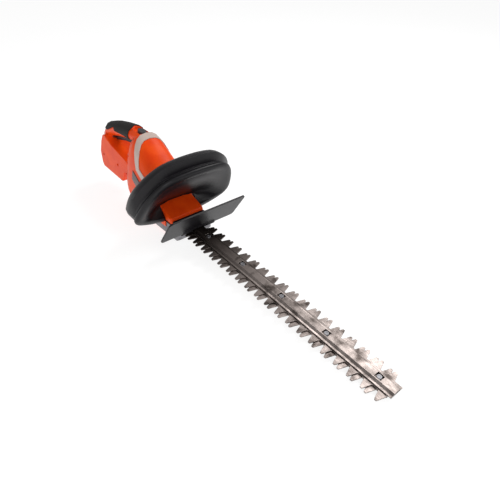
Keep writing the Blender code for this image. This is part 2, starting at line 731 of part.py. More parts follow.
cut(
    gear_case,
    prism("yoke_room", [yoke_room], "Z", -5, 40, cutters),
    box("tooth_room", (-18.5, -TOOTH_REACH - 3, -5), (20, TOOTH_REACH + 3, 40), cutters),
    rod("gear_room", GEAR_R + 3, (GEAR_X, 0, GEAR_Z - 2.5), (GEAR_X, 0, 60), cutters, sides=40),
    rod(
        "lower_bearing_pocket", BEARING_R + GAP,
        (GEAR_X, 0, shaft_low + 0.5 - GAP), (GEAR_X, 0, 20), cutters,
    ),
    rod("shaft_end_room", CRANK_R + 1, (GEAR_X, 0, shaft_low - 1), (GEAR_X, 0, 20), cutters),
    rod("pinion_room", PINION_R + 3, (MOTOR_X, 0, GEAR_Z - 2.5), (MOTOR_X, 0, 60), cutters),
)
GUARD_SCREW_X, GUARD_SCREW_Y = -27.0, 34.5
for side, side_name in SIDES:
    x, y = GUARD_SCREW_X, side * GUARD_SCREW_Y
    cut(gear_case, rod("guard_bore_" + side_name, 2.3, (x, y, -10), (x, y, 20), cutters, sides=12))
smooth(gear_case)


# ---- blades, spine and bolts ----
def teeth_edge(side, phase, count):
    """One side's teeth from rear to front: rounded gullets between blunt, tapered teeth."""
    points = []
    for i in range(count):
        middle = phase + i * TOOTH_PITCH
        half_root = TOOTH_ROOT / 2
        half_tip = TOOTH_TIP / 2
        for along, out in (
            (-half_root - 1.5, 0), (-half_root, 1.2), (-half_tip - 0.6, TOOTH_REACH - BLADE_HALF - 2.5),
            (-half_tip + 0.5, TOOTH_REACH - BLADE_HALF), (half_tip - 0.5, TOOTH_REACH - BLADE_HALF),
            (half_tip + 0.6, TOOTH_REACH - BLADE_HALF - 2.5), (half_root, 1.2), (half_root + 1.5, 0),
        ):
            points.append((middle + along, side * (BLADE_HALF + out)))
    return points


def blade(name, right_phase, right_count, left_phase, left_count, low):
    neck = GEAR_X + YOKE_LENGTH
    outline = [(GEAR_X - YOKE_LENGTH, -YOKE_HALF), (neck, -YOKE_HALF), (neck + NECK_TAPER, -BLADE_HALF)]
    outline += teeth_edge(-1, right_phase, right_count)
    outline += [(BLADE_END - 3, -BLADE_HALF), (BLADE_END, -BLADE_HALF + 5), (BLADE_END, BLADE_HALF - 5)]
    outline += [(BLADE_END - 3, BLADE_HALF)]
    outline += teeth_edge(1, left_phase, left_count)[::-1]
    outline += [(neck + NECK_TAPER, BLADE_HALF), (neck, YOKE_HALF), (GEAR_X - YOKE_LENGTH, YOKE_HALF)]
    clear = throw + ECCENTRIC_R + 1
    window = rectangle(GEAR_X - clear - throw, -clear, GEAR_X + clear + throw, clear)
    bolt_places = [BOLT_FIRST + BOLT_SPACING * i for i in range(BOLT_COUNT)]
    slots = [slot(x, 0, throw + SHANK_R + 0.6, SHANK_R + 0.5) for x in bolt_places]
    return prism(name, [outline, window] + slots, "Z", low, low + BLADE_THICK, material=steel)


blade("upper_blade", 0.0, TOOTH_COUNT, UPPER_LEFT_PHASE, TOOTH_COUNT - 1, GAP / 2)
blade("lower_blade", LOWER_PHASE, TOOTH_COUNT - 1, LOWER_PHASE, TOOTH_COUNT - 1, -blade_face)

spine_section = [
    (-SPINE_HALF, spine_z), (SPINE_HALF, spine_z), (SPINE_HALF, floor_top), (RIDGE_HALF + 3, floor_top),
    (RIDGE_HALF, ridge_top), (-RIDGE_HALF, ridge_top), (-RIDGE_HALF - 3, floor_top),
    (-SPINE_HALF, floor_top),
]
tunnel = [
    (-RIDGE_HALF - 0.5, floor_top), (RIDGE_HALF + 0.5, floor_top), (RIDGE_HALF - 1.2, ridge_top - 1.4),
    (-RIDGE_HALF + 1.2, ridge_top - 1.4),
]
spine = prism("blade_spine", [spine_section, tunnel], "X", SPINE_START, SPINE_END, material=steel)
for i in range(BOLT_COUNT):
    x = BOLT_FIRST + BOLT_SPACING * i
    cut(
        spine,
        box(f"bolt_window_{i}", (x - 6.5, -5.6, floor_top + 0.4), (x + 6.5, 5.6, 30), cutters),
        rod(f"bolt_bore_{i}", SHANK_R + GAP, (x, 0, -5), (x, 0, 20), cutters, sides=16),
    )
    bolt_profile = [
        (0, floor_top + 3.3), (3.2, floor_top + 3.3), (4.9, floor_top + 2.0), (4.9, floor_top + GAP),
        (SHANK_R, floor_top + GAP), (SHANK_R, nut_bottom + 0.6), (0, nut_bottom + 0.6),
    ]
    smooth(turned(f"blade_bolt_{i + 1}", bolt_profile, (x, 0, 0), material=zinc, steps=16))
    nut_outline = circle(x, 0, 6.2, 6)
    nut_rings = [nut_outline, circle(x, 0, SHANK_R + GAP, 16)]
    prism(f"blade_nut_{i + 1}", nut_rings, "Z", nut_bottom, nut_top, material=zinc)


# ---- guard ----
foot_x, foot_z = GUARD_FOOT
top_x, top_z = GUARD_TOP
guard_length = math.hypot(top_x - foot_x, top_z - foot_z)
guard_turn = Matrix.Translation((foot_x * MM, 0, foot_z * MM)) @ Matrix.Rotation(
    math.atan2(top_x - foot_x, top_z - foot_z), 4, "Y"
)
plate = rectangle(0, -GUARD_HALF, guard_length, GUARD_HALF, 8, 4)
guard = prism("guard", [plate], "Z", -GUARD_THICK / 2, GUARD_THICK / 2, material=black)
guard.data.transform(guard_turn @ Matrix.Rotation(math.radians(-90), 4, "Y"))
BLOCK_TOP = 19.0
block = box("guard_block", (COVER_FRONT + GAP, -40, CASE_SPLIT + GAP), (4, 40, BLOCK_TOP), cutters)
round_edges(block, 3.0, 2, 50)
boolean(guard, block, "UNION")
cut(guard, box("spine_notch", (-60, -BLADE_HALF - 3, -20), (20, BLADE_HALF + 3, 13), cutters))
for side, side_name in SIDES:
    x, y = GUARD_SCREW_X, side * GUARD_SCREW_Y
    cut(
        guard,
        rod("guard_hole_" + side_name, 2.3, (x, y, 0), (x, y, 40), cutters, sides=12),
        rod("guard_sink_" + side_name, 4.2, (x, y, BLOCK_TOP - 2.5), (x, y, 40), cutters, sides=16),
    )
    ends = (x, y, BLOCK_TOP - 2.2), (x, y, BLOCK_TOP)
    screw = rod("guard_screw_" + side_name, 3.8, *ends, material=bright_steel, sides=16)
    shank = rod("guard_shank_" + side_name, 2.0, (x, y, -8), (x, y, BLOCK_TOP - 1), cutters, sides=12)
    smooth(boolean(screw, shank, "UNION"))
smooth(guard)


# ---- front handle ----
hoop_shear = Matrix.Identity(4)
hoop_shear[0][2] = HOOP_LEAN
# from the arch's top round to where it meets the gear cover: shares of its half width, then of its
# height at the grip's rear edge and at the seam
arch_shares = [
    (0, 1, 1), (0.25, 0.99, 0.99), (0.5, 0.95, 0.96), (0.68, 0.87, 0.89), (0.81, 0.78, 0.77),
    (0.9, 0.69, 0.63), (0.955, 0.61, 0.5), (0.99, 0.51, 0.39), (1, 0.39, 0.32), (0.99, 0.28, 0.255),
    (0.935, 0.19, 0.18), (0.83, 0.12, 0.125), (0.64, 0.06, 0.06), (0.45, 0.02, 0.02), (0.36, 0, 0),
]
rear_half = [(HOOP_HALF * u, HOOP_BOTTOM + (HOOP_TOP - HOOP_BOTTOM) * v) for u, v, _ in arch_shares]
seam_half = [(SEAM_HALF * u, HOOP_BOTTOM + (SEAM_TOP - HOOP_BOTTOM) * w) for u, _, w in arch_shares]


def arch_ring(half, x, inset=0.0, scale=1.0):
    """A closed ring at a depth x: an outline mirrored, moved in by inset and scaled about its middle."""
    full = [(-y, z) for y, z in half[::-1]] + half[1:]
    middle = Vector((0, SEAM_TOP / 2))
    ring = []
    for i, point in enumerate(full):
        before = Vector(full[max(i - 1, 0)])
        after = Vector(full[min(i + 1, len(full) - 1)])
        along = (after - before).normalized()
        moved = Vector(point) + Vector((along.y, -along.x)) * inset
        moved = middle + (moved - middle) * scale
        ring.append((x, moved.x, moved.y))
    return ring


def arch_bar(name, front, shrink=0.0, collection=parts, material=None):
    """The grip's bar: it follows the arch, and its outer surface runs from the rear edge to the seam."""
    edge = HOOP_SEAM_X - HOOP_BAND
    back = edge - HOOP_BACK
    rings = [
        arch_ring(rear_half, back + shrink, 8), arch_ring(rear_half, back + 5, 2.5 + shrink),
        arch_ring(rear_half, edge, shrink),
        arch_ring(seam_half, front - 1, shrink), arch_ring(seam_half, front, 1.2 + shrink),
        arch_ring(seam_half, front, HOOP_BAR - 7), arch_ring(seam_half, front - 8, HOOP_BAR),
        arch_ring(rear_half, back + 6, HOOP_BAR), arch_ring(rear_half, back + shrink, HOOP_BAR - 5),
    ]
    return loft(name, list(zip(*rings)), collection, material, hoop_shear)


def keepout(name, grow):
    """The housing's shape, to cut from what fits round it; it ends just inside the hood's leaning front."""
    solid = loft(name, body_sections(grow), cutters)
    low = CASE_SPLIT + 1
    ahead = [(hood_front_x(low) + 1, low), (100, low), (100, 250), (hood_front_x(250) + 1, 250)]
    return cut(solid, prism(name + "_front", [ahead], "Y", -100, 100, cutters))


def slab(name, low, high):
    """Everything between two heights round the front handle."""
    return box(name, (-300, -200, low), (200, 200, high), cutters)


body_keepout = keepout("body_keepout", GAP)
grip = arch_bar("front_handle_grip", HOOP_SEAM_X - GAP, material=black)
cut(grip, slab("below_grip", -200, FOOT_TOP + GAP), body_keepout)
smooth(grip, 40)


FACE_TOP = SEAM_TOP - 17        # where the shield's rim turns into its dished face
FACE_DEPTH = 41.0                # how far it has fallen back where it meets the gear cover
FACE_CURVE = 1.8                 # 1 is straight; more keeps it forward for longer
FACE_SIDE = 0.5                  # it falls back this much less at the sides
FACE_BACK = -108.0


def dish_ring(scale):
    """A ring of the dished face, which falls back from the rim towards the gear cover."""
    front = HOOP_SEAM_X + SHIELD_DEPTH - 2
    ring = []
    for _, y, z in arch_ring(seam_half, 0, 0, scale):
        down = max(FACE_TOP - z, 0) / (FACE_TOP - COVER_REAR_Z)
        back = FACE_DEPTH * down ** FACE_CURVE * (1 - FACE_SIDE * (y / SEAM_HALF) ** 2)
        ring.append((max(front - back, FACE_BACK), y, z))
    return ring


shield_front = HOOP_SEAM_X + SHIELD_DEPTH
shield_rings = [
    arch_ring(seam_half, HOOP_SEAM_X + 0.3, 2.5), arch_ring(seam_half, HOOP_SEAM_X + 1.5, -1.5),
    arch_ring(seam_half, HOOP_SEAM_X + 7, -2.5), arch_ring(seam_half, shield_front - 4, -1.0),
    arch_ring(seam_half, shield_front - 1, 3), arch_ring(seam_half, shield_front, 9),
    arch_ring(seam_half, shield_front - 2, 17),
    dish_ring(0.72), dish_ring(0.55), dish_ring(0.35), dish_ring(0.12),
]
bm = bmesh.new()
rings = [[bm.verts.new(point) for point in ring] for ring in shield_rings]
for ring, following in zip(rings, rings[1:]):
    for i in range(len(ring)):
        j = (i + 1) % len(ring)
        bm.faces.new((ring[i], ring[j], following[j], following[i]))
bm.faces.new(rings[-1])
shield = from_bmesh("front_handle_shield", bm, parts, black, hoop_shear)
thick = shield.modifiers.new("wall", "SOLIDIFY")
thick.thickness = SHIELD_WALL * MM
thick.offset = -1
feet = arch_bar("shield_feet", HOOP_SEAM_X + 6, 1.0, cutters)
cut(feet, slab("above_feet", FOOT_TOP, 300))
boolean(shield, feet, "UNION", "MANIFOLD")
cut(
    shield,
    keepout("shield_body_keepout", 1.0),
    box("nose_keepout", (-200, -CASE_HALF - 1, -100), (100, CASE_HALF + 1, COVER_REAR_Z + 1), cutters),
)
BOLT_HEAD_Y = 56.0


def bolt_rod(name, radius, start, end, collection=cutters, material=None):
    """A rod along the line of a handle bolt, between two distances from the mid-plane."""
    ends = (HANDLE_BOLT_X, start, HANDLE_BOLT_Z), (HANDLE_BOLT_X, end, HANDLE_BOLT_Z)
    return rod(name, radius, *ends, collection, material, sides=16)


for side, side_name in SIDES:
    cut(
        shield,
        bolt_rod("handle_bolt_bore_" + side_name, 2.3, side * 30, side * 90),
        bolt_rod("handle_bolt_sink_" + side_name, 4.2, side * (BOLT_HEAD_Y - GAP), side * 150),
    )
    head = side * BOLT_HEAD_Y, side * (BOLT_HEAD_Y + 2.7)
    bolt = bolt_rod("handle_bolt_" + side_name, 3.8, *head, parts, bright_steel)
    shank = bolt_rod("handle_shank_" + side_name, 2.0, side * 42.9, side * (BOLT_HEAD_Y + 1))
    smooth(boolean(bolt, shank, "UNION"))
smooth(shield, 40)


# ---- label plates on the sides, blank ----
label_outline = [(-197, 46), (-190, 71), (-160, 54), (-126, 38), (-142, 24), (-178, 32)]
for side, side_name in SIDES:
    label = loft("label_plate_" + side_name, body_sections(1.3), material=black)
    low, high = (0.5, 100) if side > 0 else (-100, -0.5)
    boolean(label, prism("label_region_" + side_name, [label_outline], "Y", low, high, cutters), "INTERSECT")
    cut(label, loft("label_inside_" + side_name, body_sections(GAP), cutters))
    smooth(label)


# ---- electrics ----
terminal_block = box("terminal_block", (-329.7, -13.7, -3), (-300.3, 13.7, 16), material=black)
for side, side_name in SIDES:
    low, high = (-326, side * 8 - 0.6, -8.5), (-304, side * 8 + 0.6, -3 - GAP)
    box("battery_contact_" + side_name, low, high, material=zinc)
    inner_y, outer_y = sorted((side * 15.0, side * 18.7))
    box("battery_rail_" + side_name, (-387.5, inner_y, -8.7), (-298, outer_y, -5.5), material=zinc)


def wire(name, points, material, radius=1.1):
    """A wire along a smooth curve through hand-placed points."""
    path = []
    for i in range(len(points) - 1):
        before = Vector(points[max(i - 1, 0)])
        here = Vector(points[i])
        after = Vector(points[i + 1])
        beyond = Vector(points[min(i + 2, len(points) - 1)])
        for step in range(4):
            t = step / 4
            slope_here = (after - before) * t
            bend = (2 * before - 5 * here + 4 * after - beyond) * t ** 2
            twist = (3 * here - before - 3 * after + beyond) * t ** 3
            path.append((2 * here + slope_here + bend + twist) / 2)
    path.append(Vector(points[-1]))
    curve = bpy.data.curves.new(name, "CURVE")
    curve.dimensions = "3D"
    curve.bevel_depth = radius * MM
    curve.bevel_resolution = 1
    curve.use_fill_caps = True
    spline = curve.splines.new("POLY")
    spline.points.add(len(path) - 1)
    for point, place in zip(spline.points, path):
        point.co = (*(place * MM), 1)
    tube = bpy.data.objects.new(name, curve)
    bpy.context.scene.collection.objects.link(tube)
    return smooth(link(name, evaluated_mesh(tube, name), material=material))


for side, colour_name, colour in ((-1, "red", copper_red), (1, "black", wire_black)):
    wire("supply_wire_" + colour_name, [
        (-313, side * 6, 17.5), (-313, side * 6, 32), (-298, side * 7, 46), (-264, side * 6, 45),
        (-238, side * 6, 42), (-218, side * 6, 58),
        (-205, side * 5, 84), (-203, side * 5, 104), (-214, side * 4.8, 116.5), (-230, side * 4.6, 121.5),
        (-240, side * 4.6, 129), (-256, side * 4.6, 130), (-270.2, side * 4.6, 127.3),
    ], colour)
    wire("motor_wire_" + colour_name, [
        (-270.2, side * 1.5, 127.3), (-256, side * 1.5, 130), (-240, side * 1.5, 129),
        (-230, side * 1.5, 121.5), (-213, side * 1.7, 117), (-190, side * 5, 108), (-172, side * 7, 94),
        (-156, side * 6, 82), (-141, side * 5, 74),
    ], colour)


# ---- cooling fan on the motor shaft ----
FAN_BLADES = 9
fan_outline = []
for i in range(FAN_BLADES):
    for share, radius in ((0.0, 6.0), (0.18, 15.5), (0.42, 15.5), (0.6, 6.0)):
        angle = 2 * math.pi * (i + share) / FAN_BLADES
        fan_outline.append((MOTOR_X + radius * math.cos(angle), radius * math.sin(angle)))
fan_low = motor_low + MOTOR_LENGTH + 1.5
fan_rings = [fan_outline, circle(MOTOR_X, 0, 1.6 + GAP, 12)]
fan = prism("cooling_fan", fan_rings, "Z", fan_low, fan_low + 4.5, material=black)
put_origin(fan, MOTOR_X, 0, fan_low)
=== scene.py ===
import json
import math

import bmesh
import bpy
from mathutils import Matrix, Vector


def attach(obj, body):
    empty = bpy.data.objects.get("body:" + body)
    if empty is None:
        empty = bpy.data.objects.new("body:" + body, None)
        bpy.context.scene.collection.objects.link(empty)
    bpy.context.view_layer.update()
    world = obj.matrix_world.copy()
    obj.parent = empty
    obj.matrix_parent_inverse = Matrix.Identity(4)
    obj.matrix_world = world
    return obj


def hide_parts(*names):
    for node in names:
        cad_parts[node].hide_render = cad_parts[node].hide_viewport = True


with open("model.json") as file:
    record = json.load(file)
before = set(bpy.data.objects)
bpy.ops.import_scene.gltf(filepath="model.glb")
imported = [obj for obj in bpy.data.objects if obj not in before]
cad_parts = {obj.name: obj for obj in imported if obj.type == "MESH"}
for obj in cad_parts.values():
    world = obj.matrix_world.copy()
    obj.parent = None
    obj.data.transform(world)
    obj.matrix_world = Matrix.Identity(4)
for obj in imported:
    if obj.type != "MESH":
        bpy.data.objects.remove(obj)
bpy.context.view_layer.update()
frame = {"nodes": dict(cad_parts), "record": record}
nodes = frame["nodes"]
record = frame["record"]
slotOf = {part["node"]: part["material_slot"] for part in record["subparts"]}
bodyOf = {node: body for body, members in record["behaviour"]["bodies"].items() for node in members}
print("frame loaded:", len(nodes), "nodes")

# Shapes made here are drawn in millimetres in the tool's own axes, X along the blade, then stood on the floor
stance = {"place": (-0.06055, 0, 0.035246), "noseDown": math.radians(3.4), "unit": 0.001}
toolTurn = Matrix.Rotation(stance["noseDown"], 4, "Y")
toolToFloor = Matrix.Translation(stance["place"]) @ toolTurn @ Matrix.Scale(stance["unit"], 4)


def fromHex(code):
    channels = [int(code[i:i + 2], 16) / 255 for i in (1, 3, 5)]
    return [c / 12.92 if c <= 0.04045 else ((c + 0.055) / 1.055) ** 2.4 for c in channels] + [1]


def addNode(tree, kind, settings=None, values=None, links=None):
    node = tree.nodes.new(kind)
    for name, value in (settings or {}).items():
        setattr(node, name, value)
    for socket, value in (values or {}).items():
        node.inputs[socket].default_value = value
    for socket, source in (links or {}).items():
        tree.links.new(source, node.inputs[socket])
    return node


def newSurface(name):
    material = bpy.data.materials.new(name)
    material.use_nodes = True
    tree = material.node_tree
    return material, tree, tree.nodes["Principled BSDF"], addNode(tree, "ShaderNodeTexCoord").outputs["Object"]


def mouldedPlastic(name, look):
    # Injection moulded: flow mottling over centimetres, spark-eroded grain in the gloss, and a painted highlight that
    # makes it paler along its edges
    material, tree, shader, coords = newSurface(name)
    flow = addNode(tree, "ShaderNodeTexNoise", values={"Scale": 1 / look["mottle"], "Detail": 3.0},
                   links={"Vector": coords})
    grain = addNode(tree, "ShaderNodeTexNoise", values={"Scale": 1 / look["grain"], "Detail": 2.0},
                    links={"Vector": coords})
    cloud = addNode(tree, "ShaderNodeMapRange", values={1: 0.35, 2: 0.7}, links={0: flow.outputs["Fac"]})
    tone = addNode(tree, "ShaderNodeMix", {"data_type": "RGBA"},
                   {6: fromHex(look["colour"]), 7: fromHex(look["deep"])}, {0: cloud.outputs[0]})
    rounded = addNode(tree, "ShaderNodeBevel", {"samples": 6}, {"Radius": look["edge"]})
    flat = addNode(tree, "ShaderNodeNewGeometry")
    turn = addNode(tree, "ShaderNodeVectorMath", {"operation": "DOT_PRODUCT"},
                   links={0: rounded.outputs["Normal"], 1: flat.outputs["Normal"]})
    # painted highlight: the edges, found from the rounded normal, are mixed towards a paler colour
    onEdge = addNode(tree, "ShaderNodeMapRange", values={1: 0.995, 2: 0.8, 3: 0.0, 4: look["highlightStrength"]},
                     links={0: turn.outputs["Value"]})
    edgeHighlight = addNode(tree, "ShaderNodeMix", {"data_type": "RGBA"}, {7: fromHex(look["edgeHighlight"])},
                   {0: onEdge.outputs[0], 6: tone.outputs[2]})
    gloss = addNode(tree, "ShaderNodeMapRange", values={1: 0.3, 2: 0.7, 3: look["gloss"][0], 4: look["gloss"][1]},
                    links={0: grain.outputs["Fac"]})
    bump = addNode(tree, "ShaderNodeBump", values={"Strength": 0.6, "Distance": look["depth"]},
                   links={"Height": grain.outputs["Fac"], "Normal": rounded.outputs["Normal"]})
    tree.links.new(edgeHighlight.outputs[2], shader.inputs["Base Color"])
    tree.links.new(gloss.outputs[0], shader.inputs["Roughness"])
    tree.links.new(bump.outputs["Normal"], shader.inputs["Normal"])
    shader.inputs["IOR"].default_value = look["ior"]
    shader.inputs["Specular IOR Level"].default_value = look.get("specular", 0.5)
    return material


def workedMetal(name, look):
    # Ground or turned: fine lines along one axis, cloudy oil film, and a painted highlight that makes its edges
    # brighter.
    # Painted shade darkens it fully up to the first of the two given X places and fades out by the second, and
    # "never" stands for none
    material, tree, shader, coords = newSurface(name)
    lay = addNode(tree, "ShaderNodeMapping", values={"Scale": look["lay"]}, links={"Vector": coords})
    lines = addNode(tree, "ShaderNodeTexNoise", values={"Scale": 1 / look["line"], "Detail": 3.0},
                    links={"Vector": lay.outputs["Vector"]})
    film = addNode(tree, "ShaderNodeTexNoise", values={"Scale": 1 / look["mottle"], "Detail": 4.0},
                   links={"Vector": coords})
    cloud = addNode(tree, "ShaderNodeMapRange", values={1: 0.4, 2: 0.68}, links={0: film.outputs["Fac"]})
    along = addNode(tree, "ShaderNodeSeparateXYZ", links={0: coords})
    # painted shade and dark reflection: full at the guard end of the blade, fading out towards the tip
    paintedShade = addNode(tree, "ShaderNodeMapRange", values={1: look["shadedSpan"][0], 2: look["shadedSpan"][1], 3: 1.0, 4: 0.0},
                    links={0: along.outputs["X"]})
    filmAndShade = addNode(tree, "ShaderNodeMath", {"operation": "MAXIMUM"},
                    links={0: cloud.outputs[0], 1: paintedShade.outputs[0]})
    tone = addNode(tree, "ShaderNodeMix", {"data_type": "RGBA"},
                   {6: fromHex(look["colour"]), 7: fromHex(look["deep"])}, {0: filmAndShade.outputs[0]})
    rounded = addNode(tree, "ShaderNodeBevel", {"samples": 4}, {"Radius": 0.0005})
    flat = addNode(tree, "ShaderNodeNewGeometry")
    turn = addNode(tree, "ShaderNodeVectorMath", {"operation": "DOT_PRODUCT"},
                   links={0: rounded.outputs["Normal"], 1: flat.outputs["Normal"]})
    # painted highlight: the edges, found from the rounded normal, are mixed towards a brighter colour
    onEdge = addNode(tree, "ShaderNodeMapRange", values={1: 0.99, 2: 0.8, 3: 0.0, 4: 0.7},
                     links={0: turn.outputs["Value"]})
    edgeHighlight = addNode(tree, "ShaderNodeMix", {"data_type": "RGBA"}, {7: fromHex(look["edgeHighlight"])},
                   {0: onEdge.outputs[0], 6: tone.outputs[2]})
    gloss = addNode(tree, "ShaderNodeMapRange", values={1: 0.3, 2: 0.7, 3: look["gloss"][0], 4: look["gloss"][1]},
                    links={0: lines.outputs["Fac"]})
    bump = addNode(tree, "ShaderNodeBump", values={"Strength": 0.35, "Distance": 0.00005},
                   links={"Height": lines.outputs["Fac"], "Normal": rounded.outputs["Normal"]})
    tree.links.new(edgeHighlight.outputs[2], shader.inputs["Base Color"])
    tree.links.new(gloss.outputs[0], shader.inputs["Roughness"])
    tree.links.new(bump.outputs["Normal"], shader.inputs["Normal"])
    shader.inputs["Metallic"].default_value = look["metallic"]
    return material


never = (-2, -1)  # X places behind the whole tool
# real spark-eroded grain is near 0.1 mm: it is drawn at 0.7 mm so that it shows
plastic = {"mottle": 0.03, "grain": 0.0007, "depth": 0.00006, "edge": 0.0008, "highlightStrength": 0.35, "ior": 1.53}
surfaces = {
    # ABS from a satin mould: a strong warm orange with little shine
    "orange_abs": mouldedPlastic("Orange satin ABS", plastic | {
        "colour": "#f4500f", "deep": "#e8410a", "edgeHighlight": "#fb6a34", "gloss": (0.3, 0.42), "specular": 0.12}),
    # glass-filled nylon: nearly black with a violet cast, and a soft broad sheen
    "black_nylon": mouldedPlastic("Black glass-filled nylon", plastic | {
        "colour": "#151317", "deep": "#100f12", "edgeHighlight": "#36333a", "gloss": (0.34, 0.46), "edge": 0.0012,
        "highlightStrength": 0.25, "specular": 0.24}),
    # tinted polycarbonate plate, smooth from a polished mould: dark, brown and glossier than the case
    "label_plastic": mouldedPlastic("Smoked name plate", plastic | {
        "colour": "#3c1a14", "deep": "#2f1410", "edgeHighlight": "#6a3a30", "gloss": (0.18, 0.26), "depth": 0.00002}),
    # soft overmould: matt, with a coarser grain that is drawn large enough to see
    "black_elastomer": mouldedPlastic("Black soft elastomer", plastic | {
        "colour": "#1f1d1b", "deep": "#191716", "edgeHighlight": "#302d2b", "gloss": (0.6, 0.75), "grain": 0.0011,
        "depth": 0.00014, "specular": 0.25}),
    # painted trim: pearl grey lacquer over plastic, glossy
    "silver_trim": mouldedPlastic("Pearl grey lacquered trim", plastic | {
        "colour": "#cdbab0", "deep": "#c0aca2", "edgeHighlight": "#ddd0c9", "gloss": (0.22, 0.3), "depth": 0.00002}),
    # ABS with the same grain as the case: a plain dark grey for the inner supports
    "dark_grey_abs": mouldedPlastic("Dark grey grained ABS", plastic | {
        "colour": "#3b3a3d", "deep": "#343336", "edgeHighlight": "#5a595c", "gloss": (0.4, 0.52)}),
    # spring steel, surface ground along the blade, with oily mottling; painted shade and dark reflection make it
    # nearly black by the guard, warm grey towards the tip
    "blade_steel": workedMetal("Ground blade steel", {
        "colour": "#a39893", "deep": "#4a423e", "edgeHighlight": "#d2cac5", "lay": (0.04, 1, 1), "line": 0.0008,
        "mottle": 0.02, "gloss": (0.32, 0.5), "metallic": 0.92, "shadedSpan": (-0.02, 0.22)}),
    # steel turned on a lathe, not polished: mid grey with rings
    "turned_steel": workedMetal("Bright turned steel", {
        "colour": "#7f7d7c", "deep": "#696766", "edgeHighlight": "#a9a7a6", "lay": (1, 1, 0.1), "line": 0.0006,
        "mottle": 0.012, "gloss": (0.22, 0.36), "metallic": 1.0, "shadedSpan": never}),
    # zinc: duller and bluer than steel
    "zinc": workedMetal("Zinc plate and casting", {
        "colour": "#8b8a8d", "deep": "#737276", "edgeHighlight": "#b7b6b8", "lay": (1, 1, 1), "line": 0.0009, "mottle": 0.009,
        "gloss": (0.38, 0.55), "metallic": 0.95, "shadedSpan": never}),
    # extruded PVC: even colour, a slight gloss
    "red_wire": mouldedPlastic("Red PVC insulation", plastic | {
        "colour": "#b01a14", "deep": "#9a1510", "edgeHighlight": "#c4392f", "gloss": (0.35, 0.45), "edge": 0.0003}),
    "black_wire": mouldedPlastic("Black PVC insulation", plastic | {
        "colour": "#1d1d1f", "deep": "#171719", "edgeHighlight": "#333336", "gloss": (0.35, 0.45), "edge": 0.0003}),
}
for name, obj in nodes.items():
    obj.data.materials.clear()
    obj.data.materials.append(surfaces[slotOf[name]])
print("materials:", len(surfaces))


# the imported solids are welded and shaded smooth, and the blades' edges are rounded
def settle(obj, name, node):
    obj.name = name
    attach(obj, bodyOf[node])
    return obj


def weldedCopy(node):
    mesh = nodes[node].data.copy()
    shape = bmesh.new()
    shape.from_mesh(mesh)
    bmesh.ops.remove_doubles(shape, verts=shape.verts, dist=2e-6)
    bmesh.ops.dissolve_limit(shape, angle_limit=math.radians(0.5), verts=shape.verts, edges=shape.edges)
    shape.to_mesh(mesh)
    shape.free()
    obj = bpy.data.objects.new(node + "_finish", mesh)
    bpy.context.scene.collection.objects.link(obj)
    return obj


def finishNode(node, sharp, bevel=0.0):
    obj = weldedCopy(node)
    obj.data.shade_smooth()
    obj.data.set_sharp_from_angle(angle=math.radians(sharp))
    if bevel:
        edge = obj.modifiers.new("rounded edges", "BEVEL")
        edge.width = bevel
        edge.segments = 2
        edge.angle_limit = math.radians(30)
        edge.harden_normals = True
    else:
        obj.modifiers.new("even shading", "WEIGHTED_NORMAL").keep_sharp = True
    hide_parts(node)
    return settle(obj, node + "_finish", node)


# the angle in degrees past which an edge stays sharp
shells = {"housing_left": 30, "housing_right": 30, "hood_cover": 30, "trim_band": 40, "grip_overmold": 40,
          "gear_cover": 30, "gear_case": 30, "guard": 30, "label_plate_left": 40, "label_plate_right": 40,
          "trigger": 50, "lock_button": 35}
for node, sharp in shells.items():
    finishNode(node, sharp)
bladeEdges = {"sharp": 30, "bevel": 0.0003}
for node in ("upper_blade", "lower_blade", "blade_spine"):
    finishNode(node, **bladeEdges)
print("shells and blades finished")


# socket heads of the screws and bolts, one tree for every size
def headTree():
    tree = bpy.data.node_groups.new("socket screw heads", "GeometryNodeTree")
    for name, kind, way in (
            ("Places", "Geometry", "INPUT"), ("Head Radius", "Float", "INPUT"), ("Rise", "Float", "INPUT"),
            ("Socket Radius", "Float", "INPUT"), ("Socket Sides", "Int", "INPUT"), ("Finish", "Material", "INPUT"),
            ("Heads", "Geometry", "OUTPUT")):
        tree.interface.new_socket(name, in_out=way, socket_type="NodeSocket" + kind)
    sizes = addNode(tree, "NodeGroupInput")
    head = addNode(tree, "GeometryNodeMeshCylinder", values={"Vertices": 32},
                   links={"Radius": sizes.outputs["Head Radius"], "Depth": sizes.outputs["Rise"]})
    socket = addNode(tree, "GeometryNodeMeshCylinder", values={"Depth": 0.02},
                     links={"Vertices": sizes.outputs["Socket Sides"], "Radius": sizes.outputs["Socket Radius"]})
    cut = addNode(tree, "GeometryNodeMeshBoolean", {"operation": "DIFFERENCE"},
                  links={"Mesh 1": head.outputs["Mesh"], "Mesh 2": socket.outputs["Mesh"]})
    facing = addNode(tree, "GeometryNodeInputNamedAttribute", {"data_type": "FLOAT_VECTOR"}, {"Name": "facing"})
    turned = addNode(tree, "FunctionNodeAlignRotationToVector", {"axis": "Z"},
                     links={"Vector": facing.outputs["Attribute"]})
    placed = addNode(tree, "GeometryNodeInstanceOnPoints", links={
        "Points": sizes.outputs["Places"], "Instance": cut.outputs["Mesh"], "Rotation": turned.outputs["Rotation"]})
    real = addNode(tree, "GeometryNodeRealizeInstances", links={"Geometry": placed.outputs["Instances"]})
    finished = addNode(tree, "GeometryNodeSetMaterial", links={"Geometry": real.outputs["Geometry"],
                                                               "Material": sizes.outputs["Finish"]})
    addNode(tree, "NodeGroupOutput", links={"Heads": finished.outputs["Geometry"]})
    return tree


def headFace(node, way):
    points = [vertex.co for vertex in nodes[node].data.vertices]
    reach = max(point.dot(way) for point in points)
    face = [point for point in points if point.dot(way) > reach - 2e-5]
    return Vector([(min(p[axis] for p in face) + max(p[axis] for p in face)) / 2 for axis in range(3)])


